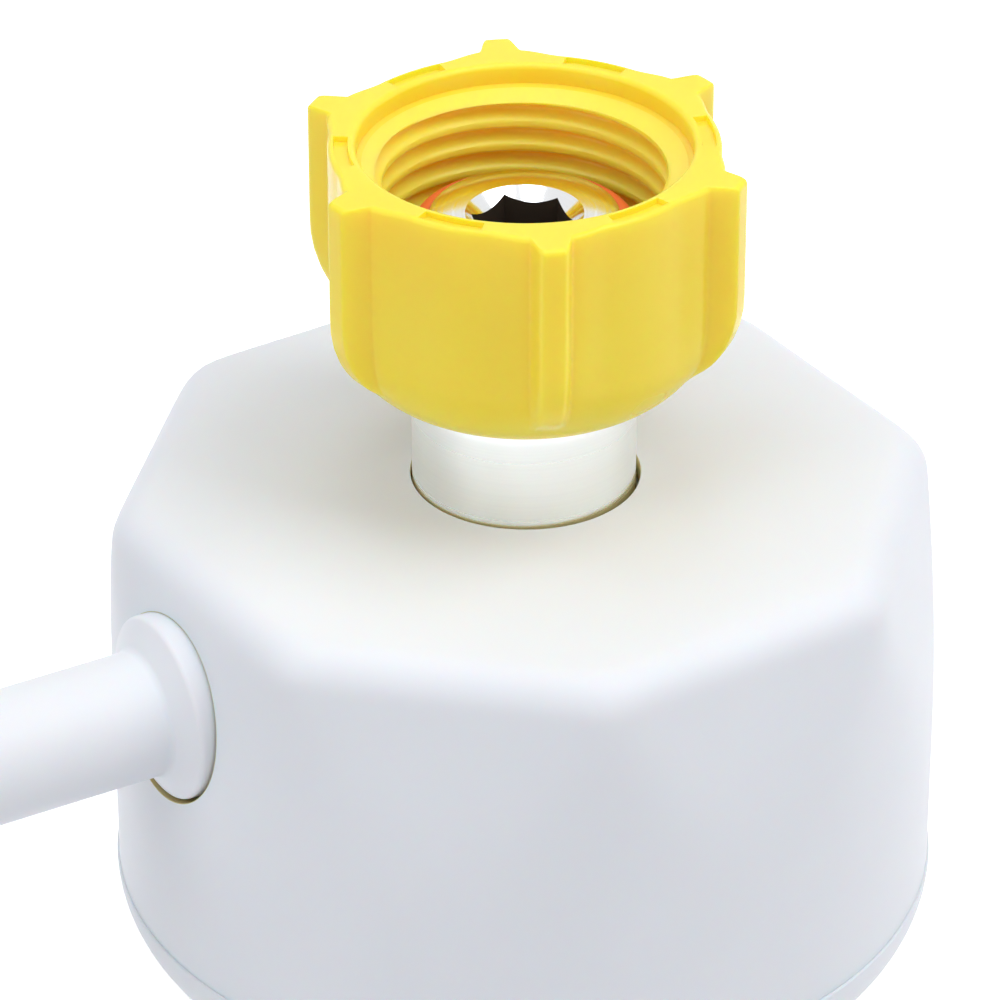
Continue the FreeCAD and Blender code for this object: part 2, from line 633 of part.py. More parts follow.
def splash_baffle():
    x0 = DUCT_X - BAFFLE_X / 2
    plate = box(x0, x0 + BAFFLE_X, -BAFFLE_Y / 2, BAFFLE_Y / 2, BAFFLE_Z, BAFFLE_Z + BAFFLE_T)
    return plate.fuse(baffle_leg(1)).fuse(baffle_leg(-1))


def housing_screw(index):
    turn = index * 360.0 / SCREW_COUNT
    head = upright(SCREW_HEAD_R, polar(SCREW_RING_R, turn, CUP_TOP_Z - SCREW_HEAD_T), SCREW_HEAD_T)
    return head.fuse(upright(SCREW_SHANK_R, polar(SCREW_RING_R, turn, CUP_TOP_Z), SCREW_LENGTH))


os.makedirs("parts", exist_ok=True)
save(canister_cup(), "canister_cup")
save(upper_housing(), "upper_housing")
save(manifold(), "manifold")
save(cup_seal(), "cup_seal")
save(side_arm(), "side_arm")
save(arm_seal(), "arm_seal")
save(arm_clip(), "arm_clip")
save(sleeve(), "sleeve")
save(spigot(), "spigot")
save(spigot_seal(), "spigot_seal")
save(stem_gasket(), "stem_gasket")
save(thrust_washer_lower(), "thrust_washer_lower")
save(thrust_washer_upper(), "thrust_washer_upper")
save(hand_nut(), "hand_nut")
save(filter_disc(), "filter_disc")
save(filter_retainer(), "filter_retainer")
save(valve_seat(), "valve_seat")
save(float_cage(), "float_cage")
save(cage_cap(), "cage_cap")
save(valve_float(), "valve_float")
save(splash_baffle(), "splash_baffle")
for number in range(SCREW_COUNT):
    save(housing_screw(number), "housing_screw_%d" % (number + 1))
    save(cage_screw(number), "cage_screw_%d" % (number + 1))
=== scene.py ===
import bpy
import math
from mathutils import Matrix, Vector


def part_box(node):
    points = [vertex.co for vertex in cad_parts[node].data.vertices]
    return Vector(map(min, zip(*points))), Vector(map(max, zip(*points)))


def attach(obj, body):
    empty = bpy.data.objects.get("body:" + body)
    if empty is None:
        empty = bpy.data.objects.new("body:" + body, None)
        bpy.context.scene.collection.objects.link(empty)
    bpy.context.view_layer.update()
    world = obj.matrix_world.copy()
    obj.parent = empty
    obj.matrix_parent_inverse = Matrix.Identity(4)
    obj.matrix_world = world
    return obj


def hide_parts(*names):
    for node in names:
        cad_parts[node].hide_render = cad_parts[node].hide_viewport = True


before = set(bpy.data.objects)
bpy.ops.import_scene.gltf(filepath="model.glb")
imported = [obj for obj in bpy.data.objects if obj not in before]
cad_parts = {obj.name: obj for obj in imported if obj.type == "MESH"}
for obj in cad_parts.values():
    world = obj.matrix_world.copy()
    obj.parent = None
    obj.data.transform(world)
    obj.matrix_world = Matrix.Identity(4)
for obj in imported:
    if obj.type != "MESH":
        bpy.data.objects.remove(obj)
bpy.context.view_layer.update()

# Canister cup: the shallow white bowl that the fluid runs into. It is one glossy moulding
# with a rounded foot and a gate dimple below, and the housing stands on its upper edge.
MM = 0.001
WELD = 0.005 * MM
SKIN = 0.1 * MM
SMOOTH_ANGLE = 32
CUP_COLUMNS = 240
CUP_FOOT_REACH = 16.0 * MM
CUP_FOOT_RISE = 11.7 * MM
CUP_SEAM_Z = 12.0 * MM
CUP_EDGE_ROUND = 0.22 * MM
CUP_BAND_R = 43.9 * MM
CUP_TROUGH_Z = 4.1 * MM
CUP_TROUGH_ROUND = 6.0 * MM
CUP_WALL_R = 36.0 * MM
CUP_BORE_R = 33.6 * MM
CUP_BORE_ROUND = 1.8 * MM
CUP_FLOOR_Z = 2.5 * MM
CUP_GATE_R = 1.2 * MM
CUP_DIMPLE_R = 4.0 * MM
CUP_DIMPLE_Z = 0.4 * MM


def rounded(centre, radius, start, end, steps):
    # An arc of an outline, as pairs of distance from the axis and height
    points = []
    for step in range(steps + 1):
        angle = math.radians(start + (end - start) * step / steps)
        points.append((centre[0] + radius * math.cos(angle), centre[1] + radius * math.sin(angle)))
    return points


def outer_edge(edge_r, edge_z, radius, steps):
    return rounded((edge_r - radius, edge_z - radius), radius, 0, 90, steps)


def bore_edge(edge_r, edge_z, radius, steps):
    return rounded((edge_r + radius, edge_z - radius), radius, 90, 180, steps)


def stepped(start, end, steps):
    # The points between the two ends of a straight stretch
    points = []
    for step in range(1, steps):
        part = step / steps
        points.append((start[0] + (end[0] - start[0]) * part, start[1] + (end[1] - start[1]) * part))
    return points


def turned(name, profile, columns, hollow=True, smooth_angle=SMOOTH_ANGLE):
    # A circle is extruded along the outline and scaled to each radius, as on a lathe
    bpy.ops.object.select_all(action="DESELECT")
    bpy.ops.mesh.primitive_circle_add(vertices=columns, radius=profile[0][0], location=(0, 0, 0))
    piece = bpy.context.object
    piece.name = name
    bpy.ops.object.mode_set(mode="EDIT")
    bpy.ops.transform.translate(value=(0, 0, profile[0][1]))
    route = profile + profile[:1] if hollow else profile
    for (from_r, from_z), (to_r, to_z) in zip(route, route[1:]):
        bpy.ops.mesh.extrude_region_move(TRANSFORM_OT_translate={"value": (0, 0, to_z - from_z)})
        grow = to_r / from_r
        bpy.ops.transform.resize(value=(grow, grow, 1), center_override=(0, 0, 0))
    bpy.ops.mesh.select_all(action="SELECT")
    bpy.ops.mesh.remove_doubles(threshold=WELD)
    bpy.ops.mesh.fill_holes(sides=columns)
    bpy.ops.mesh.select_all(action="SELECT")
    bpy.ops.mesh.normals_make_consistent(inside=False)
    bpy.ops.object.mode_set(mode="OBJECT")
    bpy.ops.object.shade_smooth_by_angle(angle=math.radians(smooth_angle))
    return piece


def dress(piece, material, body, slot, *nodes):
    piece.data.materials.clear()
    piece.data.materials.append(material)
    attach(piece, body)
    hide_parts(*nodes)


# Surface of a moulding: faint clouding in its colour, slow changes of gloss and a fine
# relief. Each surface group puts out a colour, a roughness and a height for the bump.
SURFACE_INPUTS = (
    ("Scale", "NodeSocketFloat"), ("Light", "NodeSocketColor"), ("Dark", "NodeSocketColor"),
    ("Gloss", "NodeSocketFloat"), ("Haze", "NodeSocketFloat"),
)
SURFACE_OUTPUTS = (
    ("Color", "NodeSocketColor"), ("Roughness", "NodeSocketFloat"), ("Height", "NodeSocketFloat"),
)
NOISE_LOW = 0.3
NOISE_HIGH = 0.7
CLOUD_DETAIL = 3.0
FINE_SCALE = 900.0
FINE_DETAIL = 2.0
FINE_SHARE = 0.2
FLOW_SCALE = 90.0
FLOW_DETAIL = 1.0


def surface_group(name):
    group = bpy.data.node_groups.new(name, "ShaderNodeTree")
    for socket, kind in SURFACE_INPUTS:
        group.interface.new_socket(socket, in_out="INPUT", socket_type=kind)
    for socket, kind in SURFACE_OUTPUTS:
        group.interface.new_socket(socket, in_out="OUTPUT", socket_type=kind)
    return group, group.nodes.new("NodeGroupInput"), group.nodes.new("NodeGroupOutput")


def wire(tree, *routes):
    # Each route names a node, its output, the node that it feeds and that one's input
    for source, output, target, socket in routes:
        tree.links.new(source.outputs[output], target.inputs[socket])


def noise_node(tree, detail, scale=1.0):
    noise = tree.nodes.new("ShaderNodeTexNoise")
    noise.inputs["Scale"].default_value = scale
    noise.inputs["Detail"].default_value = detail
    return noise


def spread_node(tree):
    # Spreads the middle of a noise over the whole range from zero to one
    spread = tree.nodes.new("ShaderNodeMapRange")
    spread.inputs["From Min"].default_value = NOISE_LOW
    spread.inputs["From Max"].default_value = NOISE_HIGH
    return spread


def math_node(tree, operation, second=None):
    node = tree.nodes.new("ShaderNodeMath")
    node.operation = operation
    if second is not None:
        node.inputs[1].default_value = second
    return node


def shade(group, group_in, group_out, tone, tone_output, wear, wear_output):
    # The tone goes from the light to the dark colour, and the wear from gloss to haze
    mix = group.nodes.new("ShaderNodeMix")
    mix.data_type = "RGBA"
    rough = group.nodes.new("ShaderNodeMapRange")
    wire(
        group,
        (tone, tone_output, mix, "Factor"), (wear, wear_output, rough, "Value"),
        (group_in, "Light", mix, "A"), (group_in, "Gloss", rough, "To Min"),
        (group_in, "Dark", mix, "B"), (group_in, "Haze", rough, "To Max"),
        (mix, "Result", group_out, "Color"), (rough, "Result", group_out, "Roughness"),
    )


moulded_group, moulded_in, moulded_out = surface_group("Moulded Clouding")
moulded_place = moulded_group.nodes.new("ShaderNodeTexCoord")
moulded_cloud = noise_node(moulded_group, CLOUD_DETAIL)
moulded_fine = noise_node(moulded_group, FINE_DETAIL, FINE_SCALE)
moulded_flow = noise_node(moulded_group, FLOW_DETAIL, FLOW_SCALE)
moulded_spread = spread_node(moulded_group)
moulded_height = math_node(moulded_group, "MULTIPLY_ADD", FINE_SHARE)
for noise in (moulded_cloud, moulded_fine, moulded_flow):
    wire(moulded_group, (moulded_place, "Object", noise, "Vector"))
wire(
    moulded_group,
    (moulded_in, "Scale", moulded_cloud, "Scale"),
    (moulded_cloud, "Fac", moulded_spread, "Value"),
    (moulded_fine, "Fac", moulded_height, 0),
    (moulded_flow, "Fac", moulded_height, 2),
    (moulded_height, "Value", moulded_out, "Height"),
)
shade(moulded_group, moulded_in, moulded_out, moulded_spread, "Result", moulded_flow, "Fac")


def finish(name, group, look, shine, bump, depth=SKIN):
    # The look is the surface group's values, and the shine is the shader's own
    material = bpy.data.materials.new(name)
    material.use_nodes = True
    tree = material.node_tree
    shader = tree.nodes["Principled BSDF"]
    surface = tree.nodes.new("ShaderNodeGroup")
    surface.node_tree = group
    for socket, value in look.items():
        surface.inputs[socket].default_value = value
    relief = tree.nodes.new("ShaderNodeBump")
    relief.inputs["Strength"].default_value = bump
    relief.inputs["Distance"].default_value = depth
    wire(
        tree,
        (surface, "Color", shader, "Base Color"),
        (surface, "Roughness", shader, "Roughness"),
        (surface, "Height", relief, "Height"),
        (relief, "Normal", shader, "Normal"),
    )
    for socket, value in shine.items():
        shader.inputs[socket].default_value = value
    return material


white_look = {
    "Scale": 35.0, "Light": (0.775, 0.79, 0.825, 1), "Dark": (0.75, 0.765, 0.80, 1),
    "Gloss": 0.36, "Haze": 0.44,
}
white_shine = {"Specular IOR Level": 0.17, "Subsurface Weight": 0.3, "Subsurface Scale": 2.5 * MM}
white_shell = finish("glossy white moulding", moulded_group, white_look, white_shine, bump=0.05)

# The foot sweeps up in a quarter of an ellipse, to the band under the seam
cup_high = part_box("canister_cup")[1]
cup_outer_r = cup_high.x
cup_profile = [(CUP_GATE_R, CUP_DIMPLE_Z), (CUP_DIMPLE_R - CUP_DIMPLE_Z, CUP_DIMPLE_Z), (CUP_DIMPLE_R, 0)]
cup_profile += stepped((CUP_DIMPLE_R, 0), (cup_outer_r - CUP_FOOT_REACH, 0), steps=6)
for across, up in rounded((0, 0), 1.0, -90, 0, steps=24):
    cup_profile += [(cup_outer_r - CUP_FOOT_REACH * (1 - across), CUP_FOOT_RISE * (1 + up))]
cup_profile += outer_edge(cup_outer_r, CUP_SEAM_Z, CUP_EDGE_ROUND, steps=4)
cup_profile += [(CUP_BAND_R, CUP_SEAM_Z)]
trough_corner = (CUP_BAND_R - CUP_TROUGH_ROUND, CUP_TROUGH_Z + CUP_TROUGH_ROUND)
cup_profile += rounded(trough_corner, CUP_TROUGH_ROUND, 0, -90, steps=8)
cup_profile += [(CUP_WALL_R, CUP_TROUGH_Z)]
cup_profile += outer_edge(CUP_WALL_R, cup_high.z, CUP_EDGE_ROUND, steps=3)
cup_profile += bore_edge(CUP_BORE_R, cup_high.z, CUP_EDGE_ROUND, steps=3)
floor_corner = (CUP_BORE_R - CUP_BORE_ROUND, CUP_FLOOR_Z + CUP_BORE_ROUND)
cup_profile += rounded(floor_corner, CUP_BORE_ROUND, 0, -90, steps=6)
cup_profile += stepped((CUP_BORE_R - CUP_BORE_ROUND, CUP_FLOOR_Z), (CUP_GATE_R, CUP_FLOOR_Z), steps=4)
cup_profile += [(CUP_GATE_R, CUP_FLOOR_Z)]
cup = turned("overflow_bowl", cup_profile, CUP_COLUMNS, hollow=False)
dress(cup, white_shell, "cup", "white_shell", "canister_cup")

# Upper housing: a white moulded shell, round below, whose wall is cut by eight flats that
# lean in towards an octagonal top. It is screwed down on the manifold from below.
HOUSING_COLUMNS = 240
HOUSING_WALL = 2.6 * MM
HOUSING_TOP_ROUND = 4.8 * MM
HOUSING_FOOT_Z = 12.02 * MM
HOUSING_FOOT_ROUND = 0.05 * MM
HOUSING_LIP_R = 43.75 * MM
HOUSING_LIP_INNER_R = 41.45 * MM
HOUSING_LIP_DEPTH = 3.8 * MM
HOUSING_HOLE_R = 12.63 * MM
HOUSING_HOLE_PLACE = (0.14 * MM, -0.08 * MM, 0)
HOUSING_HOLE_EDGE = 0.25 * MM
FLAT_COUNT = 8
FLAT_TURN = 3.5
FLAT_INSET = 3.8 * MM
FLAT_RUN = 22.5 * MM
FLAT_LEAN = FLAT_INSET / FLAT_RUN
FLAT_BLEND = 0.5 * MM
FLAT_FACING_LEAST = 0.5
FLAT_FADE_START_R = 14.25 * MM
FLAT_FADE_R = 40.0 * MM
PORT_Z = 43.5 * MM
PORT_HOLE_R = 10.52 * MM
PORT_HOLE_Y = -0.18 * MM
PORT_HOLE_DROP = 0.12 * MM
PORT_CUT_COLUMNS = 96
PORT_CUT_DEPTH = 12.0 * MM
HOLE_MARGIN = 0.06 * MM
HOLE_COLOUR = (0.62, 0.55, 0.26, 1)
HOLE_ROUGHNESS = 0.5

housing_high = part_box("upper_housing")[1]
housing_top_z = housing_high.z
housing_r = housing_high.x
lean_angle = math.degrees(math.atan(FLAT_LEAN))
shoulder_z = housing_top_z - HOUSING_TOP_ROUND + HOUSING_TOP_ROUND * math.sin(math.radians(lean_angle))
shoulder_r = housing_r - HOUSING_TOP_ROUND * math.cos(math.radians(lean_angle))
inner_r = housing_r - HOUSING_WALL
inner_top_z = housing_top_z - HOUSING_WALL
lip_top_z = HOUSING_FOOT_Z + HOUSING_LIP_DEPTH
lip_bottom_z = HOUSING_FOOT_Z - HOUSING_LIP_DEPTH
foot_edge = (housing_r - HOUSING_FOOT_ROUND, HOUSING_FOOT_Z + HOUSING_FOOT_ROUND)
housing_profile = rounded(foot_edge, HOUSING_FOOT_ROUND, -90, 0, steps=3)
housing_profile += stepped((housing_r, HOUSING_FOOT_Z), (housing_r, shoulder_z), steps=44)
shoulder = (shoulder_r, housing_top_z - HOUSING_TOP_ROUND)
housing_profile += rounded(shoulder, HOUSING_TOP_ROUND, lean_angle, 90, steps=10)
housing_profile += stepped((shoulder_r, housing_top_z), (HOUSING_HOLE_R, housing_top_z), steps=14)
housing_profile += bore_edge(HOUSING_HOLE_R, housing_top_z, HOUSING_HOLE_EDGE, steps=4)
housing_profile += [(HOUSING_HOLE_R, inner_top_z)]
housing_profile += stepped((HOUSING_HOLE_R, inner_top_z), (inner_r, inner_top_z), steps=8)
housing_profile += [(inner_r, inner_top_z)]
housing_profile += stepped((inner_r, inner_top_z), (inner_r, HOUSING_FOOT_Z), steps=12)[:-1]
housing_profile += [(inner_r, lip_top_z), (HOUSING_LIP_INNER_R, lip_top_z)]
housing_profile += [(HOUSING_LIP_INNER_R, lip_bottom_z), (HOUSING_LIP_R, lip_bottom_z)]
housing_profile += [(HOUSING_LIP_R, HOUSING_FOOT_Z)]
housing = turned("faceted_shell", housing_profile, HOUSING_COLUMNS)


def wall_inset(angle, height):
    # How far the flats pull the round wall in, blended so that their edges are soft
    reach = housing_r - FLAT_INSET + (housing_top_z - height) * FLAT_LEAN
    total = 1.0
    for flat in range(FLAT_COUNT):
        facing = math.cos(angle - math.radians(FLAT_TURN + flat * 360 / FLAT_COUNT))
        if facing > FLAT_FACING_LEAST:
            total += math.exp((housing_r - reach / facing) / FLAT_BLEND)
    return FLAT_BLEND * math.log(total)


# The flats fade out over the top face, and the sleeve's hole sits a little off centre
for vertex in housing.data.vertices:
    radius = math.hypot(vertex.co.x, vertex.co.y)
    angle = math.atan2(vertex.co.y, vertex.co.x)
    weight = min(1.0, max(0.0, (radius - FLAT_FADE_START_R) / (FLAT_FADE_R - FLAT_FADE_START_R)))
    if vertex.co.z < lip_top_z + WELD:
        weight = 0.0
    scale = 1 - weight * wall_inset(angle, min(vertex.co.z, shoulder_z)) / radius
    vertex.co.x *= scale
    vertex.co.y *= scale
    if radius < FLAT_FADE_START_R - WELD:
        vertex.co.x += HOUSING_HOLE_PLACE[0]
        vertex.co.y += HOUSING_HOLE_PLACE[1]


def pick(piece):
    bpy.ops.object.select_all(action="DESELECT")
    piece.select_set(True)
    bpy.context.view_layer.objects.active = piece


def carve(piece, cutter):
    cut = piece.modifiers.new("cut", "BOOLEAN")
    cut.operation = "DIFFERENCE"
    cut.solver = "EXACT"
    cut.object = cutter
    pick(piece)
    bpy.ops.object.modifier_apply(modifier=cut.name)
    bpy.data.objects.remove(cutter, do_unlink=True)


port_hole_z = PORT_Z - PORT_HOLE_DROP
bpy.ops.object.select_all(action="DESELECT")
bpy.ops.mesh.primitive_cylinder_add(
    vertices=PORT_CUT_COLUMNS, radius=PORT_HOLE_R, depth=PORT_CUT_DEPTH,
    location=(-housing_r, PORT_HOLE_Y, port_hole_z), rotation=(0, math.radians(90), 0),
)
carve(housing, bpy.context.object)


def from_axis(tree, along, centre):
    # Splits the place on the surface, and takes its distance from a line along one axis
    place = tree.nodes.new("ShaderNodeTexCoord")
    split = tree.nodes.new("ShaderNodeSeparateXYZ")
    flat = tree.nodes.new("ShaderNodeCombineXYZ")
    reach = tree.nodes.new("ShaderNodeVectorMath")
    reach.operation = "DISTANCE"
    reach.inputs[1].default_value = centre
    wire(tree, (place, "Object", split, "Vector"), (flat, "Vector", reach, 0))
    for axis in "XYZ".replace(along, ""):
        wire(tree, (split, axis, flat, axis))
    return split, reach


def tint_hollow(material, mask, colour, roughness):
    # Lays another colour and roughness over the walls of a hollow, where the mask is one
    tree = material.node_tree
    shader = tree.nodes["Principled BSDF"]
    tint = tree.nodes.new("ShaderNodeMix")
    tint.data_type = "RGBA"
    rough = tree.nodes.new("ShaderNodeMix")
    for blend, socket, value in ((tint, "Base Color", colour), (rough, "Roughness", roughness)):
        blend.inputs["B"].default_value = value
        tree.links.new(shader.inputs[socket].links[0].from_socket, blend.inputs["A"])
        wire(tree, (mask, "Value", blend, "Factor"), (blend, "Result", shader, socket))


# The walls of its two clearance holes have an olive cast in the photograph
housing_shell = finish(
    "white moulding with two holes", moulded_group, white_look, white_shine, bump=0.05,
)
shell_tree = housing_shell.node_tree
port_split, port_reach = from_axis(shell_tree, "X", (0, PORT_HOLE_Y, port_hole_z))
port_near = math_node(shell_tree, "LESS_THAN", PORT_HOLE_R + HOLE_MARGIN)
port_side = math_node(shell_tree, "LESS_THAN", 0.0)
port_mask = math_node(shell_tree, "MULTIPLY")
top_reach = from_axis(shell_tree, "Z", HOUSING_HOLE_PLACE)[1]
top_near = math_node(shell_tree, "LESS_THAN", HOUSING_HOLE_R + HOLE_MARGIN)
hole_mask = math_node(shell_tree, "MAXIMUM")
wire(
    shell_tree,
    (port_reach, "Value", port_near, 0), (port_split, "X", port_side, 0),
    (port_near, "Value", port_mask, 0), (port_side, "Value", port_mask, 1),
    (top_reach, "Value", top_near, 0),
    (port_mask, "Value", hole_mask, 0), (top_near, "Value", hole_mask, 1),
)
tint_hollow(housing_shell, hole_mask, HOLE_COLOUR, HOLE_ROUGHNESS)
dress(housing, housing_shell, "head", "white_shell", "upper_housing")

# Side arm: the white hose spigot, one moulded tube with a round collar that sits in the
# housing's hole. Its plug is sealed by a ring and held by a fork clip inside.
ARM_COLUMNS = 128
ARM_R = 7.0 * MM
ARM_BORE_R = 4.4 * MM
ARM_PLUG_R = 6.2 * MM
ARM_FACE_X = 45.9 * MM
ARM_COLLAR_R = 10.3 * MM
ARM_COLLAR_BACK_X = 39.2 * MM
ARM_COLLAR_ROUND = 0.8 * MM
ARM_COLLAR_TURN = 62
ARM_SHOULDER = 2.2 * MM
ARM_SHOULDER_ROUND = 1.2 * MM
ARM_SHOULDER_TURN = 230
ARM_TIP_ROUND = 0.6 * MM

arm_low, arm_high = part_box("side_arm")
arm_tip = -arm_low.x
arm_root = -arm_high.x
arm_profile = [(ARM_BORE_R, arm_root), (ARM_PLUG_R, arm_root), (ARM_PLUG_R, ARM_COLLAR_BACK_X)]
arm_profile += [(ARM_COLLAR_R, ARM_COLLAR_BACK_X)]
collar_front_x = ARM_FACE_X - ARM_COLLAR_ROUND
arm_profile += stepped((ARM_COLLAR_R, ARM_COLLAR_BACK_X), (ARM_COLLAR_R, collar_front_x), steps=3)
collar_edge = (ARM_COLLAR_R - ARM_COLLAR_ROUND, collar_front_x)
arm_profile += rounded(collar_edge, ARM_COLLAR_ROUND, 0, ARM_COLLAR_TURN, steps=6)
shoulder_end = (ARM_R + ARM_SHOULDER_ROUND, ARM_FACE_X + ARM_SHOULDER)
arm_profile += rounded(shoulder_end, ARM_SHOULDER_ROUND, ARM_SHOULDER_TURN, 180, steps=6)
arm_profile += stepped((ARM_R, ARM_FACE_X + ARM_SHOULDER), (ARM_R, arm_tip - ARM_TIP_ROUND), steps=8)
arm_profile += outer_edge(ARM_R, arm_tip, ARM_TIP_ROUND, steps=5)
arm_profile += bore_edge(ARM_BORE_R, arm_tip, ARM_TIP_ROUND, steps=4)
arm_profile += stepped((ARM_BORE_R, arm_tip), (ARM_BORE_R, arm_root), steps=6)
arm = turned("hose_arm", arm_profile, ARM_COLUMNS)
arm.rotation_euler = (0, math.radians(-90), 0)
arm.location = (0, 0, PORT_Z)
pick(arm)
bpy.ops.object.transform_apply(location=True, rotation=True, scale=False)
dress(arm, white_shell, "head", "white_shell", "side_arm")

# Sleeve: a bright aluminium tube turned on a lathe, pressed into the manifold's boss and
# closed at the top by the face that the nut's lower washer slides on.
SLEEVE_COLUMNS = 160
SLEEVE_BORE_R = 9.4 * MM
SLEEVE_STEM_R = 6.0 * MM
SLEEVE_CAP = 4.0 * MM
SLEEVE_EDGE = 0.3 * MM
LATHE_DETAIL = 4.0

sleeve_low, sleeve_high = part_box("sleeve")
sleeve_r = sleeve_high.x
cap_z = sleeve_high.z - SLEEVE_CAP
sleeve_profile = [(SLEEVE_BORE_R, sleeve_low.z), (sleeve_r, sleeve_low.z)]
sleeve_profile += stepped((sleeve_r, sleeve_low.z), (sleeve_r, sleeve_high.z), steps=12)
sleeve_profile += outer_edge(sleeve_r, sleeve_high.z, SLEEVE_EDGE, steps=3)
sleeve_profile += [(SLEEVE_STEM_R, sleeve_high.z), (SLEEVE_STEM_R, cap_z), (SLEEVE_BORE_R, cap_z)]
sleeve = turned("bright_sleeve", sleeve_profile, SLEEVE_COLUMNS)

# The fine rings that a lathe leaves: they run round the axis and along it
turning_group, turning_in, turning_out = surface_group("Lathe Rings")
turning_split, turning_reach = from_axis(turning_group, "Z", (0, 0, 0))
turning_sum = math_node(turning_group, "ADD")
turning_scale = math_node(turning_group, "MULTIPLY")
turning_noise = noise_node(turning_group, LATHE_DETAIL)
turning_noise.noise_dimensions = "1D"
turning_spread = spread_node(turning_group)
wire(
    turning_group,
    (turning_reach, "Value", turning_sum, 0), (turning_split, "Z", turning_sum, 1),
    (turning_sum, "Value", turning_scale, 0), (turning_in, "Scale", turning_scale, 1),
    (turning_scale, "Value", turning_noise, "W"),
    (turning_noise, "Fac", turning_spread, "Value"),
    (turning_spread, "Result", turning_out, "Height"),
)
shade(turning_group, turning_in, turning_out, turning_spread, "Result", turning_spread, "Result")

aluminium_look = {
    "Scale": 2600.0, "Light": (0.96, 0.98, 0.965, 1), "Dark": (0.93, 0.95, 0.94, 1),
    "Gloss": 0.27, "Haze": 0.32,
}
metal_shine = {"Metallic": 1.0}
bright_aluminium = finish(
    "bright turned aluminium", turning_group, aluminium_look, metal_shine, bump=0.02, depth=SKIN / 4,
)
dress(sleeve, bright_aluminium, "head", "bright_aluminium", "sleeve")

# Spigot: plated brass, screwed into the manifold with a hexagon key. The head holds the
# nut down, seals in the outlet with its ring, and is bored through for the vacuum.
SPIGOT_COLUMNS = 144
SPIGOT_STEM_R = 5.98 * MM
SPIGOT_JOURNAL_R = 8.0 * MM
SPIGOT_HEAD_BOTTOM_Z = 76.4 * MM
SPIGOT_HEAD_EDGE = 0.4 * MM
SPIGOT_BORE_R = 3.0 * MM
SPIGOT_GROOVE_R = 9.2 * MM
SPIGOT_GROOVE_Z = 88.3 * MM
SPIGOT_GROOVE_TOP_Z = 91.3 * MM
SOCKET_SIDES = 6
SOCKET_FLATS = 10.0 * MM
SOCKET_DEPTH = 9.0 * MM
SOCKET_TURN = 22.0
SOCKET_CHAMFER_R = 6.4 * MM
SOCKET_CHAMFER_REACH = 4
SOCKET_MARGIN = 0.06 * MM
# Painted shade: the near black colour of the socket's deep walls
SOCKET_SHADE_COLOUR = (0.020, 0.012, 0.007, 1)
SOCKET_ROUGHNESS = 0.6

spigot_low, spigot_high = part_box("spigot")
head_r = spigot_high.x
spigot_profile = [(SPIGOT_BORE_R, spigot_low.z), (SPIGOT_STEM_R, spigot_low.z)]
spigot_profile += [(SPIGOT_STEM_R, sleeve_high.z), (SPIGOT_JOURNAL_R, sleeve_high.z)]
spigot_profile += [(SPIGOT_JOURNAL_R, SPIGOT_HEAD_BOTTOM_Z), (head_r, SPIGOT_HEAD_BOTTOM_Z)]
spigot_profile += [(head_r, SPIGOT_GROOVE_Z), (SPIGOT_GROOVE_R, SPIGOT_GROOVE_Z)]
spigot_profile += [(SPIGOT_GROOVE_R, SPIGOT_GROOVE_TOP_Z), (head_r, SPIGOT_GROOVE_TOP_Z)]
spigot_profile += outer_edge(head_r, spigot_high.z, SPIGOT_HEAD_EDGE, steps=5)
spigot_profile += stepped((head_r, spigot_high.z), (SPIGOT_BORE_R, spigot_high.z), steps=3)
spigot_profile += [(SPIGOT_BORE_R, spigot_high.z)]
spigot = turned("hexagon_spigot", spigot_profile, SPIGOT_COLUMNS)

# The socket is cut by a hexagon prism, and its mouth by a cone of 45 degrees, which is
# four times as deep as the chamfer and stands out of the end face by one of the four
bpy.ops.object.select_all(action="DESELECT")
bpy.ops.mesh.primitive_cylinder_add(
    vertices=SOCKET_SIDES, radius=SOCKET_FLATS / 2 / math.cos(math.radians(180 / SOCKET_SIDES)),
    depth=SOCKET_DEPTH * 2, location=(0, 0, spigot_high.z),
    rotation=(0, 0, math.radians(SOCKET_TURN - 90)),
)
socket_cutter = bpy.context.object
chamfer_depth = SOCKET_CHAMFER_R - SOCKET_FLATS / 2
bpy.ops.mesh.primitive_cone_add(
    vertices=SPIGOT_COLUMNS, radius1=SOCKET_CHAMFER_R - (SOCKET_CHAMFER_REACH - 1) * chamfer_depth,
    radius2=SOCKET_CHAMFER_R + chamfer_depth, depth=SOCKET_CHAMFER_REACH * chamfer_depth,
    location=(0, 0, spigot_high.z - chamfer_depth),
)
chamfer_cutter = bpy.context.object
carve(spigot, socket_cutter)
carve(spigot, chamfer_cutter)
bpy.ops.object.shade_smooth_by_angle(angle=math.radians(SMOOTH_ANGLE))
chrome_look = {
    "Scale": 3200.0, "Light": (0.84, 0.85, 0.86, 1), "Dark": (0.78, 0.79, 0.80, 1),
    "Gloss": 0.07, "Haze": 0.14,
}
chrome = finish("plated brass", turning_group, chrome_look, metal_shine, bump=0.03, depth=SKIN / 3)
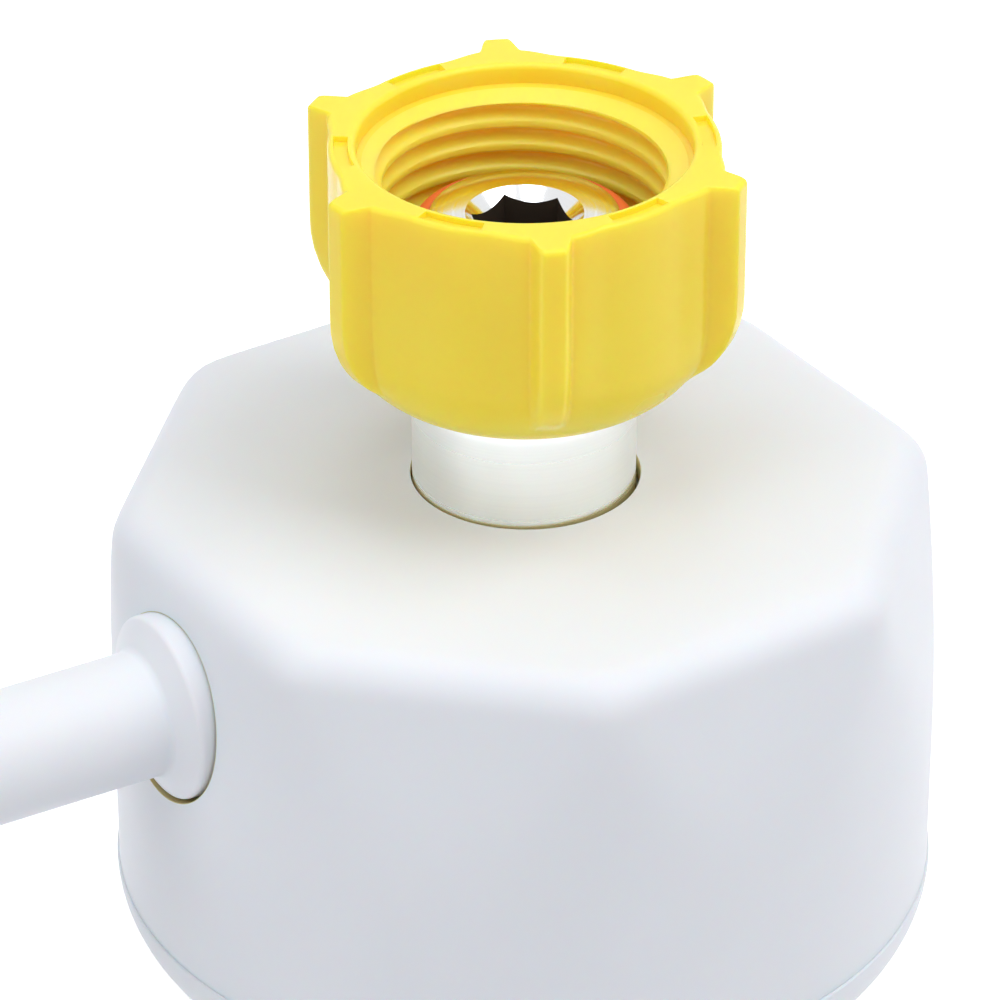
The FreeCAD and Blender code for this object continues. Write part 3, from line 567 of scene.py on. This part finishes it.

# The socket's walls below the chamfer are dull and not metallic, and painted near black as painted shade
# deep in the hole
chrome_tree = chrome.node_tree
socket_split, socket_reach = from_axis(chrome_tree, "Z", (0, 0, 0))
socket_sink = math_node(chrome_tree, "SUBTRACT")
socket_below = math_node(chrome_tree, "GREATER_THAN", SOCKET_CHAMFER_R + SOCKET_MARGIN - spigot_high.z)
socket_inside = math_node(chrome_tree, "LESS_THAN", SOCKET_CHAMFER_R - SOCKET_MARGIN)
socket_shade_mask = math_node(chrome_tree, "MULTIPLY")
socket_metallic = math_node(chrome_tree, "SUBTRACT")
socket_metallic.inputs[0].default_value = 1.0
wire(
    chrome_tree,
    (socket_reach, "Value", socket_sink, 0), (socket_split, "Z", socket_sink, 1),
    (socket_sink, "Value", socket_below, 0), (socket_reach, "Value", socket_inside, 0),
    (socket_below, "Value", socket_shade_mask, 0), (socket_inside, "Value", socket_shade_mask, 1),
    (socket_shade_mask, "Value", socket_metallic, 1),
    (socket_metallic, "Value", chrome_tree.nodes["Principled BSDF"], "Metallic"),
)
tint_hollow(chrome, socket_shade_mask, SOCKET_SHADE_COLOUR, SOCKET_ROUGHNESS)
dress(spigot, chrome, "head", "chrome_brass", "spigot")

# Seal ring of the spigot: one orange rubber ring, moulded in two halves that leave a fine
# line round its outside, stretched into the groove of the head.
RING_COLUMNS = 128
RING_R = 10.7 * MM
RING_TUBE = 1.5 * MM
RING_FLASH = 0.05 * MM
RING_FLASH_TURN = 6
RING_SMOOTH_ANGLE = 40

ring_low, ring_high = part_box("spigot_seal")
ring_z = (ring_low.z + ring_high.z) / 2
ring_profile = rounded(
    (RING_R, ring_z), RING_TUBE - RING_FLASH, RING_FLASH_TURN, 360 - RING_FLASH_TURN, steps=22,
)
ring_profile += [(RING_R + RING_TUBE, ring_z)]
seal_ring = turned("orange_seal_ring", ring_profile, RING_COLUMNS, smooth_angle=RING_SMOOTH_ANGLE)
orange_look = {
    "Scale": 120.0, "Light": (0.78, 0.16, 0.03, 1), "Dark": (0.62, 0.10, 0.02, 1),
    "Gloss": 0.42, "Haze": 0.6,
}
plain_shine = {"Specular IOR Level": 0.4}
orange_rubber = finish("orange seal rubber", moulded_group, orange_look, plain_shine, bump=0.15)
dress(seal_ring, orange_rubber, "head", "orange_rubber", "spigot_seal")

# Hand nut: the yellow winged nut that draws the canister to the outlet. It is one glossy
# moulding with six wings, slots in its rim and a coarse thread inside, and turns freely.
NUT_R = 21.0 * MM
NUT_ROUND = 9.0 * MM
NUT_BORE_R = 8.08 * MM
NUT_BORE_EDGE = 0.3 * MM
NUT_FLOOR_Z = 75.8 * MM
NUT_FLOOR_ROUND = 0.8 * MM
NUT_FLOOR_INSET = 0.2 * MM
NUT_FLOOR_TURN = -20
NUT_RIM_ROUND = 0.6 * MM
NUT_MOUTH_R = 18.0 * MM
NUT_MOUTH_DEPTH = 2.2 * MM
NUT_LEDGE_DEPTH = 1.0 * MM
NUT_SMOOTH_ANGLE = 40
# Painted glow: the paler colour of the thread inside the nut
NUT_INSIDE_GLOW_COLOUR = (1.0, 0.75, 0.085, 1)
NUT_INSIDE_ROUGHNESS = 0.3
THREAD_CREST_R = 15.25 * MM
THREAD_ROOT_R = 16.7 * MM
THREAD_PITCH = 2.85 * MM
THREAD_FLAT = 0.28 * MM
THREAD_FLANK = 1.05 * MM
THREAD_SHIFT = 0.44
THREAD_STEPS = 14
THREAD_FOOT_Z = 76.8 * MM
WING_COUNT = 6
WING_TURN = 7.0
WING_R = 24.9 * MM
WING_ROUND = 12.0 * MM
WING_BOTTOM_Z = 74.2 * MM
WING_HALF = 1.6 * MM
WING_EDGE = 1.3 * MM
WING_ROOT = 5.0 * MM
WING_ROOT_SHARE = 0.28
WING_STEPS_MM = (
    0.0, 0.5, 0.8, 0.95, 1.1, 1.25, 1.4, 1.55, 1.7, 1.85, 2.0, 2.15, 2.3, 2.6, 3.0, 3.5, 4.1, 4.8,
)
SLOT_START = 20.0
SLOT_INNER_R = 18.85 * MM
SLOT_OUTER_R = 20.35 * MM
SLOT_DEPTH = 0.6 * MM
SLOT_WALL = 0.07 * MM
SLOT_STEPS = (14.2, 15.9, 17.6, 19.2, 19.9, 20.2, 21.2, 22.6, 24.2, 26.0, 28.0, 30.0)

nut_low, nut_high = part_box("hand_nut")
rim_z = nut_high.z
nut_bottom_z = nut_low.z
rim_inner = NUT_MOUTH_R + NUT_RIM_ROUND
rim_outer = NUT_R - NUT_RIM_ROUND
ledge_z = rim_z - NUT_MOUTH_DEPTH
nut_profile = [(NUT_BORE_R, nut_bottom_z + NUT_BORE_EDGE), (NUT_BORE_R + NUT_BORE_EDGE, nut_bottom_z)]
nut_profile += [(NUT_R - NUT_ROUND, nut_bottom_z)]
nut_profile += rounded((NUT_R - NUT_ROUND, nut_bottom_z + NUT_ROUND), NUT_ROUND, -90, 0, steps=20)[1:]
nut_profile += stepped((NUT_R, nut_bottom_z + NUT_ROUND), (NUT_R, rim_z - NUT_RIM_ROUND), steps=10)
nut_profile += outer_edge(NUT_R, rim_z, NUT_RIM_ROUND, steps=5)
nut_profile += [(SLOT_OUTER_R + SLOT_WALL / 2, rim_z), (SLOT_OUTER_R - SLOT_WALL / 2, rim_z)]
nut_profile += [((SLOT_INNER_R + SLOT_OUTER_R) / 2, rim_z)]
nut_profile += [(SLOT_INNER_R + SLOT_WALL / 2, rim_z), (SLOT_INNER_R - SLOT_WALL / 2, rim_z)]
nut_profile += bore_edge(NUT_MOUTH_R, rim_z, NUT_RIM_ROUND, steps=5)
nut_profile += stepped((NUT_MOUTH_R, rim_z - NUT_RIM_ROUND), (NUT_MOUTH_R, ledge_z), steps=3)
thread_rings = round((ledge_z - THREAD_FOOT_Z) / (THREAD_PITCH / THREAD_STEPS))
for thread_step in range(thread_rings + 1):
    nut_profile += [(NUT_MOUTH_R, ledge_z - thread_step * THREAD_PITCH / THREAD_STEPS)]
floor_corner = (THREAD_CREST_R - NUT_FLOOR_INSET, NUT_FLOOR_Z + NUT_FLOOR_ROUND)
nut_profile += rounded(floor_corner, NUT_FLOOR_ROUND, NUT_FLOOR_TURN, -90, steps=4)
nut_profile += [(NUT_BORE_R + NUT_BORE_EDGE, NUT_FLOOR_Z), (NUT_BORE_R, NUT_FLOOR_Z - NUT_BORE_EDGE)]

# The nut's columns lie closer at the flanks of a wing and at the ends of a slot
sector = 360 / WING_COUNT
wing_angles = [math.degrees(step * MM / NUT_R) for step in WING_STEPS_MM]
half_sector = wing_angles + list(SLOT_STEPS)
sector_angles = half_sector + [sector - angle for angle in half_sector[-2:0:-1]]
nut_columns = WING_COUNT * len(sector_angles)
nut = turned("winged_nut", nut_profile, nut_columns)


def soft_step(start, end, value):
    # Goes from zero to one between the start and the end, and is level at both
    part = min(1.0, max(0.0, (value - start) / (end - start)))
    return part * part * (3 - 2 * part)


def outline_r(outer_r, corner, bottom, height):
    # Radius of a cylinder with a rounded bottom corner at a height above its bottom
    rise = height - bottom
    if rise >= corner:
        return outer_r
    return outer_r - corner + math.sqrt(max(0.0, corner ** 2 - (corner - rise) ** 2))


def wing_share(off_centre):
    # How much of a wing's reach there is at a distance from the wing's middle
    blade = 1 - soft_step(WING_HALF - WING_EDGE / 2, WING_HALF + WING_EDGE / 2, off_centre)
    root = 1 - soft_step(WING_HALF, WING_HALF + WING_ROOT, off_centre)
    return (1 - WING_ROOT_SHARE) * blade + WING_ROOT_SHARE * root


def thread_r(angle, height):
    # Radius of the thread, or of the cone that leads into it from the mouth's ledge
    phase = (height / THREAD_PITCH - angle / 360 + THREAD_SHIFT) % 1.0
    off_crest = abs(phase - 0.5) * THREAD_PITCH
    depth = THREAD_ROOT_R - THREAD_CREST_R
    ridge = THREAD_ROOT_R - depth * (1 - soft_step(THREAD_FLAT, THREAD_FLAT + THREAD_FLANK, off_crest))
    cone_rise = height - (ledge_z - NUT_LEDGE_DEPTH)
    cone = THREAD_CREST_R + cone_rise * (NUT_MOUTH_R - THREAD_CREST_R) / NUT_LEDGE_DEPTH
    return max(ridge, cone)


for vertex in nut.data.vertices:
    radius = math.hypot(vertex.co.x, vertex.co.y)
    height = vertex.co.z
    column = round(math.degrees(math.atan2(vertex.co.y, vertex.co.x)) / 360 * nut_columns) % nut_columns
    from_wing = sector_angles[column % len(sector_angles)]
    angle = WING_TURN + sector * (column // len(sector_angles)) + from_wing
    if from_wing > sector / 2:
        from_wing = sector - from_wing
    body_r = outline_r(NUT_R, NUT_ROUND, nut_bottom_z, height)
    if radius > body_r - NUT_RIM_ROUND - WELD or height > rim_z - WELD:
        reach = max(0.0, outline_r(WING_R, WING_ROUND, WING_BOTTOM_Z, height) - body_r)
        share = wing_share(NUT_R * math.sin(math.radians(from_wing)))
        fade = min(1.0, max(0.0, (radius - rim_inner) / (rim_outer - rim_inner)))
        radius += reach * share * fade
        if from_wing > SLOT_START and SLOT_INNER_R < radius < SLOT_OUTER_R and height > rim_z - WELD:
            height -= SLOT_DEPTH
    elif abs(radius - NUT_MOUTH_R) < WELD and THREAD_FOOT_Z - WELD < height < ledge_z + WELD:
        radius = thread_r(angle, height)
    vertex.co = (radius * math.cos(math.radians(angle)), radius * math.sin(math.radians(angle)), height)
nut.data.update()
pick(nut)
bpy.ops.object.shade_smooth_by_angle(angle=math.radians(NUT_SMOOTH_ANGLE))
yellow_look = {
    "Scale": 60.0, "Light": (0.96, 0.74, 0.055, 1), "Dark": (0.94, 0.70, 0.045, 1),
    "Gloss": 0.2, "Haze": 0.3,
}
yellow_shine = {
    "Specular IOR Level": 0.28, "Subsurface Weight": 0.8, "Subsurface Scale": 4.0 * MM,
    "Subsurface Radius": (1.0, 0.5, 0.06),
}
yellow_plastic = finish("yellow nut moulding", moulded_group, yellow_look, yellow_shine, bump=0.06)

# The thread inside is painted paler, as painted light for the glow that soaks through the thin wall
nut_reach = from_axis(yellow_plastic.node_tree, "Z", (0, 0, 0))[1]
nut_glow_mask = math_node(yellow_plastic.node_tree, "LESS_THAN", NUT_MOUTH_R - NUT_RIM_ROUND)
wire(yellow_plastic.node_tree, (nut_reach, "Value", nut_glow_mask, 0))
tint_hollow(yellow_plastic, nut_glow_mask, NUT_INSIDE_GLOW_COLOUR, NUT_INSIDE_ROUGHNESS)
dress(nut, yellow_plastic, "nut", "yellow_plastic", "hand_nut")

# Inner pieces: the white manifold, cage, cap, baffle and retainer that the housing hides.
# They are plain mouldings of the same white plastic, left as the mould gives them.
inner_look = {
    "Scale": 50.0, "Light": (0.76, 0.76, 0.76, 1), "Dark": (0.71, 0.715, 0.73, 1),
    "Gloss": 0.42, "Haze": 0.55,
}
white_inner = finish("plain white moulding", moulded_group, inner_look, plain_shine, bump=0.1)


def paint(material, *nodes):
    # Pieces that keep their solid's own mesh
    for node in nodes:
        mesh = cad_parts[node].data
        mesh.materials.clear()
        mesh.materials.append(material)


paint(white_inner, "manifold", "float_cage", "cage_cap", "splash_baffle", "filter_retainer")

# Rubber pieces: the cup's seal ring, the arm's ring, the stem gasket and the valve seat,
# moulded in black rubber with a dull skin.
rubber_look = {
    "Scale": 150.0, "Light": (0.028, 0.028, 0.03, 1), "Dark": (0.016, 0.016, 0.018, 1),
    "Gloss": 0.5, "Haze": 0.72,
}
black_rubber = finish("black seal rubber", moulded_group, rubber_look, plain_shine, bump=0.2)
paint(black_rubber, "cup_seal", "arm_seal", "stem_gasket", "valve_seat")

# Washers, filter and float: two stamped slip washers, a pressed fibre disc that keeps
# droplets out of the vacuum line, and the red float that closes the valve.
washer_look = {
    "Scale": 90.0, "Light": (0.70, 0.70, 0.64, 1), "Dark": (0.62, 0.62, 0.56, 1),
    "Gloss": 0.35, "Haze": 0.5,
}
washer_plastic = finish(
    "slip washer sheet", moulded_group, washer_look, plain_shine, bump=0.1, depth=SKIN / 2,
)
paint(washer_plastic, "thrust_washer_lower", "thrust_washer_upper")
felt_look = {
    "Scale": 700.0, "Light": (0.80, 0.80, 0.74, 1), "Dark": (0.60, 0.60, 0.54, 1),
    "Gloss": 0.85, "Haze": 0.95,
}
felt_shine = {"Specular IOR Level": 0.2}
filter_felt = finish(
    "pressed filter fibre", moulded_group, felt_look, felt_shine, bump=0.6, depth=SKIN * 2,
)
paint(filter_felt, "filter_disc")
float_look = {
    "Scale": 120.0, "Light": (0.60, 0.05, 0.03, 1), "Dark": (0.50, 0.035, 0.02, 1),
    "Gloss": 0.38, "Haze": 0.5,
}
float_shine = {"Specular IOR Level": 0.5}
float_plastic = finish("red float moulding", moulded_group, float_look, float_shine, bump=0.1)
paint(float_plastic, "valve_float")

# Clip and screws: a fork clip blanked from spring strip, three screws that hold the
# housing to the manifold, and three that hold the cage.
steel_look = {
    "Scale": 1500.0, "Light": (0.58, 0.58, 0.60, 1), "Dark": (0.46, 0.46, 0.48, 1),
    "Gloss": 0.25, "Haze": 0.42,
}
plated_steel = finish("plated steel", turning_group, steel_look, metal_shine, bump=0.1, depth=SKIN / 2)
paint(plated_steel, "arm_clip")
for number in (1, 2, 3):
    paint(plated_steel, "housing_screw_%d" % number, "cage_screw_%d" % number)

# Studio: a white table that runs back as the backdrop, with the object's soft shadow on it.
# It isn't part of the object.
TABLE_SIZE = 6.0
TABLE_COLOUR = (0.78, 0.78, 0.8, 1)
TABLE_ROUGHNESS = 0.8
TABLE_GLOW = 0.7


def ray_mask(tree, first, *others):
    # One for the rays of these kinds and zero for all others, which carry the lighting
    rays = tree.nodes.new("ShaderNodeLightPath")
    mask, output = rays, first
    for kind in others:
        either = math_node(tree, "MAXIMUM")
        wire(tree, (mask, output, either, 0), (rays, kind, either, 1))
        mask, output = either, "Value"
    return mask


bpy.ops.object.select_all(action="DESELECT")
bpy.ops.mesh.primitive_plane_add(size=TABLE_SIZE, location=(0, 0, 0))
table = bpy.context.object
table.name = "studio_table"
table_material = bpy.data.materials.new("white table")
table_material.use_nodes = True
table_tree = table_material.node_tree
table_shader = table_tree.nodes["Principled BSDF"]
table_shader.inputs["Base Color"].default_value = TABLE_COLOUR
table_shader.inputs["Roughness"].default_value = TABLE_ROUGHNESS
table_glow = table_tree.nodes.new("ShaderNodeEmission")
table_glow.inputs["Color"].default_value = (1, 1, 1, 1)
table_seen = ray_mask(table_tree, "Is Camera Ray", "Is Glossy Ray", "Is Transmission Ray")
table_share = math_node(table_tree, "MULTIPLY", TABLE_GLOW)
table_add = table_tree.nodes.new("ShaderNodeAddShader")
wire(
    table_tree,
    (table_seen, "Value", table_share, 0), (table_share, "Value", table_glow, "Strength"),
    (table_shader, "BSDF", table_add, 0), (table_glow, "Emission", table_add, 1),
    (table_add, "Shader", table_tree.nodes["Material Output"], "Surface"),
)
table.data.materials.append(table_material)

# Light: a pale sky for the fill and four soft lamps, the main one high in front on the
# right, one above, and a weak one from each side.
SKY_FILL = 0.4
SKY_SEEN = 1.0
WHITE_LIGHT = (1, 1, 1)
COOL_LIGHT = (0.88, 0.93, 1)
LAMP_AIM_Z = 0.05

world = bpy.data.worlds.new("studio sky")
bpy.context.scene.world = world
world.use_nodes = True
sky = world.node_tree.nodes["Background"]
sky.inputs["Color"].default_value = (1, 1, 1, 1)
sky_seen = ray_mask(world.node_tree, "Is Camera Ray", "Is Glossy Ray")
sky_strength = world.node_tree.nodes.new("ShaderNodeMapRange")
sky_strength.inputs["To Min"].default_value = SKY_FILL
sky_strength.inputs["To Max"].default_value = SKY_SEEN
wire(
    world.node_tree,
    (sky_seen, "Value", sky_strength, "Value"), (sky_strength, "Result", sky, "Strength"),
)


def soft_lamp(name, place, size, power, colour=WHITE_LIGHT):
    lamp_data = bpy.data.lights.new(name, "AREA")
    lamp_data.shape = "RECTANGLE"
    lamp_data.size, lamp_data.size_y = size
    lamp_data.energy = power
    lamp_data.color = colour
    lamp = bpy.data.objects.new(name, lamp_data)
    bpy.context.collection.objects.link(lamp)
    lamp.location = place
    aim = table.location.copy()
    aim.z = LAMP_AIM_Z
    lamp.rotation_euler = (aim - lamp.location).to_track_quat("-Z", "Y").to_euler()


soft_lamp("main lamp", place=(0.40, -0.44, 0.92), size=(0.7, 0.7), power=4.6)
soft_lamp("top lamp", place=(-0.12, 0.0, 0.95), size=(0.8, 0.8), power=4.4, colour=COOL_LIGHT)
soft_lamp("left lamp", place=(-0.80, -0.10, 0.45), size=(0.4, 0.6), power=1.3)
soft_lamp("right lamp", place=(0.85, -0.32, 0.35), size=(0.3, 0.4), power=0.5)

# Camera: a long lens from the front left, looking down on the nut, as in the photograph.
CAMERA_LENS = 205.2
CAMERA_SENSOR = 36.0
CAMERA_CLIP_START = 0.01
CAMERA_PLACE = (-0.27145, -0.46490, 0.37950)
CAMERA_ELEVATION = 31.0
CAMERA_AZIMUTH = -30.0
camera_data = bpy.data.cameras.new("camera")
camera_data.lens = CAMERA_LENS
camera_data.sensor_width = CAMERA_SENSOR
camera_data.clip_start = CAMERA_CLIP_START
camera = bpy.data.objects.new("camera", camera_data)
bpy.context.collection.objects.link(camera)
camera.location = CAMERA_PLACE
camera.rotation_euler = (math.radians(90 - CAMERA_ELEVATION), 0, math.radians(CAMERA_AZIMUTH))
bpy.context.scene.camera = camera
bpy.context.scene.view_settings.view_transform = "Standard"
